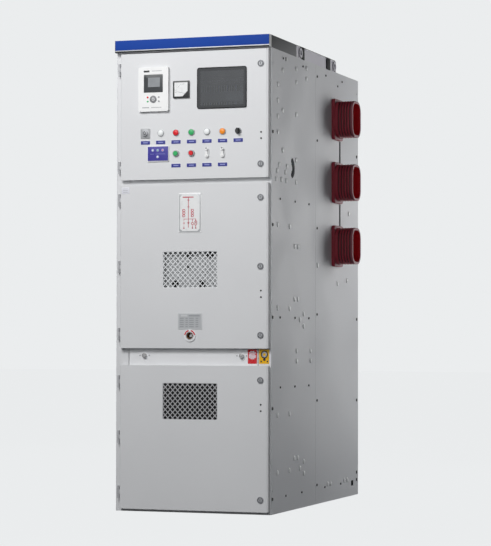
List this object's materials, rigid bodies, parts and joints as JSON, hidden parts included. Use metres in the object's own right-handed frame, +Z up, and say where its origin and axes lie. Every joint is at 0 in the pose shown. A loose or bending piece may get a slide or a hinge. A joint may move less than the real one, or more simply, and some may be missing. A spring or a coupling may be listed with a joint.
{
  "type": "metal-enclosed switchgear",
  "caption": "Free-standing metal-enclosed switchgear cabinet with a withdrawable breaker truck, hinged doors, earthing switch, relief flaps and ribbed busbar bushings.",
  "frame": {"origin": "centre of the four floor anchor holes, at floor level, below the middle of the footprint", "axes": "+Z up, -Y out of the doors, +X towards the side sheet with the bushings"},
  "size_m": [0.917, 1.5244, 2.3045],
  "materials": {
    "painted_sheet": "light grey powder coat",
    "dark_sheet": "dark grey paint",
    "pale_sheet": "pale grey paint",
    "galvanised_sheet": "galvanised",
    "machined_steel": "machined",
    "plated_metal": "satin plated",
    "copper_bar": "bare copper",
    "red_epoxy": "cast epoxy resin",
    "smoked_glass": "smoked",
    "white_plastic": "moulded",
    "black_plastic": "moulded",
    "blue_plastic": "moulded",
    "green_plastic": "moulded",
    "red_plastic": "moulded"
  },
  "bodies": {
    "cabinet": {"floor_frame": "galvanised_sheet", "front_frame": "painted_sheet", "left_panels": "painted_sheet", "right_front_panel": "painted_sheet", "right_rear_panel": "painted_sheet", "rear_covers": "painted_sheet", "roof_frame": "dark_sheet", "lintel": "painted_sheet", "relief_duct": "pale_sheet", "compartment_walls": "galvanised_sheet", "partition_wall": "galvanised_sheet", "contact_boxes": "red_epoxy", "busbars": "copper_bar", "cable_bars": "copper_bar", "wall_bushings": "red_epoxy", "current_transformers": "red_epoxy", "earthing_base": "galvanised_sheet", "frame_hinges": "plated_metal", "terminal_rails": "black_plastic", "sill_cover": "painted_sheet", "truck_beam": "galvanised_sheet"},
    "earthing_blades": {"earthing_blades": "copper_bar"},
    "earthing_drive": {"earthing_drive": "machined_steel"},
    "flap_breaker": {"flap_breaker": "pale_sheet"},
    "flap_busbar": {"flap_busbar": "pale_sheet"},
    "flap_cable": {"flap_cable": "pale_sheet"},
    "beam_handle_left": {"beam_handle_left": "black_plastic"},
    "beam_handle_right": {"beam_handle_right": "black_plastic"},
    "racking_screw": {"racking_screw": "machined_steel"},
    "truck": {"truck_frame": "galvanised_sheet", "truck_poles": "red_epoxy", "contact_arms": "copper_bar"},
    "front_wheels": {"front_wheels": "machined_steel"},
    "rear_wheels": {"rear_wheels": "machined_steel"},
    "close_button": {"close_button": "green_plastic"},
    "open_button": {"open_button": "red_plastic"},
    "upper_shutter": {"upper_shutter": "galvanised_sheet"},
    "lower_shutter": {"lower_shutter": "galvanised_sheet"},
    "instrument_door": {"instrument_door": "painted_sheet", "window_glass": "smoked_glass", "relay": "white_plastic", "panel_meters": "blue_plastic", "pilot_devices": "white_plastic"},
    "changeover_switch": {"changeover_switch": "plated_metal"},
    "selector_switch": {"selector_switch": "black_plastic"},
    "green_button": {"green_button": "green_plastic"},
    "red_button": {"red_button": "red_plastic"},
    "test_link_left": {"test_link_left": "plated_metal"},
    "test_link_right": {"test_link_right": "plated_metal"},
    "breaker_door": {"breaker_door": "painted_sheet", "breaker_mesh": "galvanised_sheet"},
    "cable_door": {"cable_door": "painted_sheet", "cable_mesh": "galvanised_sheet"},
    "instrument_lock_top": {"instrument_lock_top": "plated_metal"},
    "instrument_lock_bottom": {"instrument_lock_bottom": "plated_metal"},
    "breaker_lock_top": {"breaker_lock_top": "plated_metal"},
    "breaker_lock_middle": {"breaker_lock_middle": "plated_metal"},
    "breaker_lock_bottom": {"breaker_lock_bottom": "plated_metal"},
    "cable_lock_top": {"cable_lock_top": "plated_metal"},
    "cable_lock_bottom": {"cable_lock_bottom": "plated_metal"}
  },
  "joints": [
    {"name": "truck_travel", "type": "slide", "parent": "cabinet", "child": "truck", "axis": [0, 1, 0], "range_m": [0, 0.2]},
    {"name": "racking_screw_turn", "type": "hinge", "parent": "cabinet", "child": "racking_screw", "pos_m": [-0.006, -0.6, 0.855], "axis": [0, 1, 0], "range_deg": [0, 7200]},
    {"name": "front_wheels_roll", "type": "hinge", "parent": "truck", "child": "front_wheels", "pos_m": [0, -0.62, 0.8043], "axis": [-1, 0, 0], "range_deg": [0, 530]},
    {"name": "rear_wheels_roll", "type": "hinge", "parent": "truck", "child": "rear_wheels", "pos_m": [0, -0.32, 0.8043], "axis": [-1, 0, 0], "range_deg": [0, 530]},
    {"name": "upper_shutter_lift", "type": "slide", "parent": "cabinet", "child": "upper_shutter", "axis": [0, 0, 1], "range_m": [0, 0.2]},
    {"name": "lower_shutter_drop", "type": "slide", "parent": "cabinet", "child": "lower_shutter", "axis": [0, 0, -1], "range_m": [0, 0.2]},
    {"name": "close_button_press", "type": "slide", "parent": "truck", "child": "close_button", "axis": [0, 1, 0], "range_m": [0, 0.005], "stiffness_N_per_m": 600},
    {"name": "open_button_press", "type": "slide", "parent": "truck", "child": "open_button", "axis": [0, 1, 0], "range_m": [0, 0.005], "stiffness_N_per_m": 600},
    {"name": "beam_handle_left_pull", "type": "slide", "parent": "cabinet", "child": "beam_handle_left", "axis": [1, 0, 0], "range_m": [0, 0.02], "stiffness_N_per_m": 800},
    {"name": "beam_handle_right_pull", "type": "slide", "parent": "cabinet", "child": "beam_handle_right", "axis": [-1, 0, 0], "range_m": [0, 0.02], "stiffness_N_per_m": 800},
    {"name": "earthing_switch_turn", "type": "hinge", "parent": "cabinet", "child": "earthing_blades", "pos_m": [0, 0.25, 0.765], "axis": [1, 0, 0], "range_deg": [0, 90]},
    {"name": "earthing_drive_turn", "type": "hinge", "parent": "cabinet", "child": "earthing_drive", "pos_m": [0.366, -0.2, 0.765], "axis": [0, 1, 0], "range_deg": [0, 90]},
    {"name": "flap_breaker_open", "type": "hinge", "parent": "cabinet", "child": "flap_breaker", "pos_m": [0, -0.329, 2.3005], "axis": [1, 0, 0], "range_deg": [0, 80]},
    {"name": "flap_busbar_open", "type": "hinge", "parent": "cabinet", "child": "flap_busbar", "pos_m": [0, 0.32, 2.3005], "axis": [-1, 0, 0], "range_deg": [0, 80]},
    {"name": "flap_cable_open", "type": "hinge", "parent": "cabinet", "child": "flap_cable", "pos_m": [0, 0.552, 2.2445], "axis": [1, 0, 0], "range_deg": [0, 80]},
    {"name": "instrument_door_swing", "type": "hinge", "parent": "cabinet", "child": "instrument_door", "pos_m": [-0.381, -0.74, 1], "axis": [0, 0, -1], "range_deg": [0, 110]},
    {"name": "breaker_door_swing", "type": "hinge", "parent": "cabinet", "child": "breaker_door", "pos_m": [-0.381, -0.74, 1], "axis": [0, 0, -1], "range_deg": [0, 110]},
    {"name": "cable_door_swing", "type": "hinge", "parent": "cabinet", "child": "cable_door", "pos_m": [-0.381, -0.74, 1], "axis": [0, 0, -1], "range_deg": [0, 110]},
    {"name": "changeover_switch_turn", "type": "hinge", "parent": "instrument_door", "child": "changeover_switch", "pos_m": [-0.24, -0.75, 1.84], "axis": [0, 1, 0], "range_deg": [0, 90]},
    {"name": "selector_switch_turn", "type": "hinge", "parent": "instrument_door", "child": "selector_switch", "pos_m": [0.24, -0.75, 1.84], "axis": [0, 1, 0], "range_deg": [-45, 45]},
    {"name": "green_button_press", "type": "slide", "parent": "instrument_door", "child": "green_button", "axis": [0, 1, 0], "range_m": [0, 0.004], "stiffness_N_per_m": 500},
    {"name": "red_button_press", "type": "slide", "parent": "instrument_door", "child": "red_button", "axis": [0, 1, 0], "range_m": [0, 0.004], "stiffness_N_per_m": 500},
    {"name": "test_link_left_swing", "type": "hinge", "parent": "instrument_door", "child": "test_link_left", "pos_m": [0.08, -0.755, 1.724], "axis": [0, 1, 0], "range_deg": [0, 60]},
    {"name": "test_link_right_swing", "type": "hinge", "parent": "instrument_door", "child": "test_link_right", "pos_m": [0.16, -0.755, 1.724], "axis": [0, 1, 0], "range_deg": [0, 60]},
    {"name": "instrument_lock_top_turn", "type": "hinge", "parent": "instrument_door", "child": "instrument_lock_top", "pos_m": [0.354, -0.74, 2.161], "axis": [0, 1, 0], "range_deg": [0, 90]},
    {"name": "instrument_lock_bottom_turn", "type": "hinge", "parent": "instrument_door", "child": "instrument_lock_bottom", "pos_m": [0.354, -0.74, 1.679], "axis": [0, 1, 0], "range_deg": [0, 90]},
    {"name": "breaker_lock_top_turn", "type": "hinge", "parent": "breaker_door", "child": "breaker_lock_top", "pos_m": [0.354, -0.74, 1.518], "axis": [0, 1, 0], "range_deg": [0, 90]},
    {"name": "breaker_lock_middle_turn", "type": "hinge", "parent": "breaker_door", "child": "breaker_lock_middle", "pos_m": [0.354, -0.74, 1.188], "axis": [0, 1, 0], "range_deg": [0, 90]},
    {"name": "breaker_lock_bottom_turn", "type": "hinge", "parent": "breaker_door", "child": "breaker_lock_bottom", "pos_m": [0.354, -0.74, 0.858], "axis": [0, 1, 0], "range_deg": [0, 90]},
    {"name": "cable_lock_top_turn", "type": "hinge", "parent": "cable_door", "child": "cable_lock_top", "pos_m": [0.354, -0.74, 0.643], "axis": [0, 1, 0], "range_deg": [0, 90]},
    {"name": "cable_lock_bottom_turn", "type": "hinge", "parent": "cable_door", "child": "cable_lock_bottom", "pos_m": [0.354, -0.74, 0.072], "axis": [0, 1, 0], "range_deg": [0, 90]}
  ],
  "couplings": [
    {"joint": "racking_screw_turn", "follows": "truck_travel", "rad_per_m": 628.3},
    {"joint": "front_wheels_roll", "follows": "truck_travel", "rad_per_m": 45.45},
    {"joint": "rear_wheels_roll", "follows": "truck_travel", "rad_per_m": 45.45},
    {"joint": "upper_shutter_lift", "follows": "truck_travel", "ratio": 1},
    {"joint": "lower_shutter_drop", "follows": "truck_travel", "ratio": 1},
    {"joint": "earthing_drive_turn", "follows": "earthing_switch_turn", "ratio": 1}
  ]
}
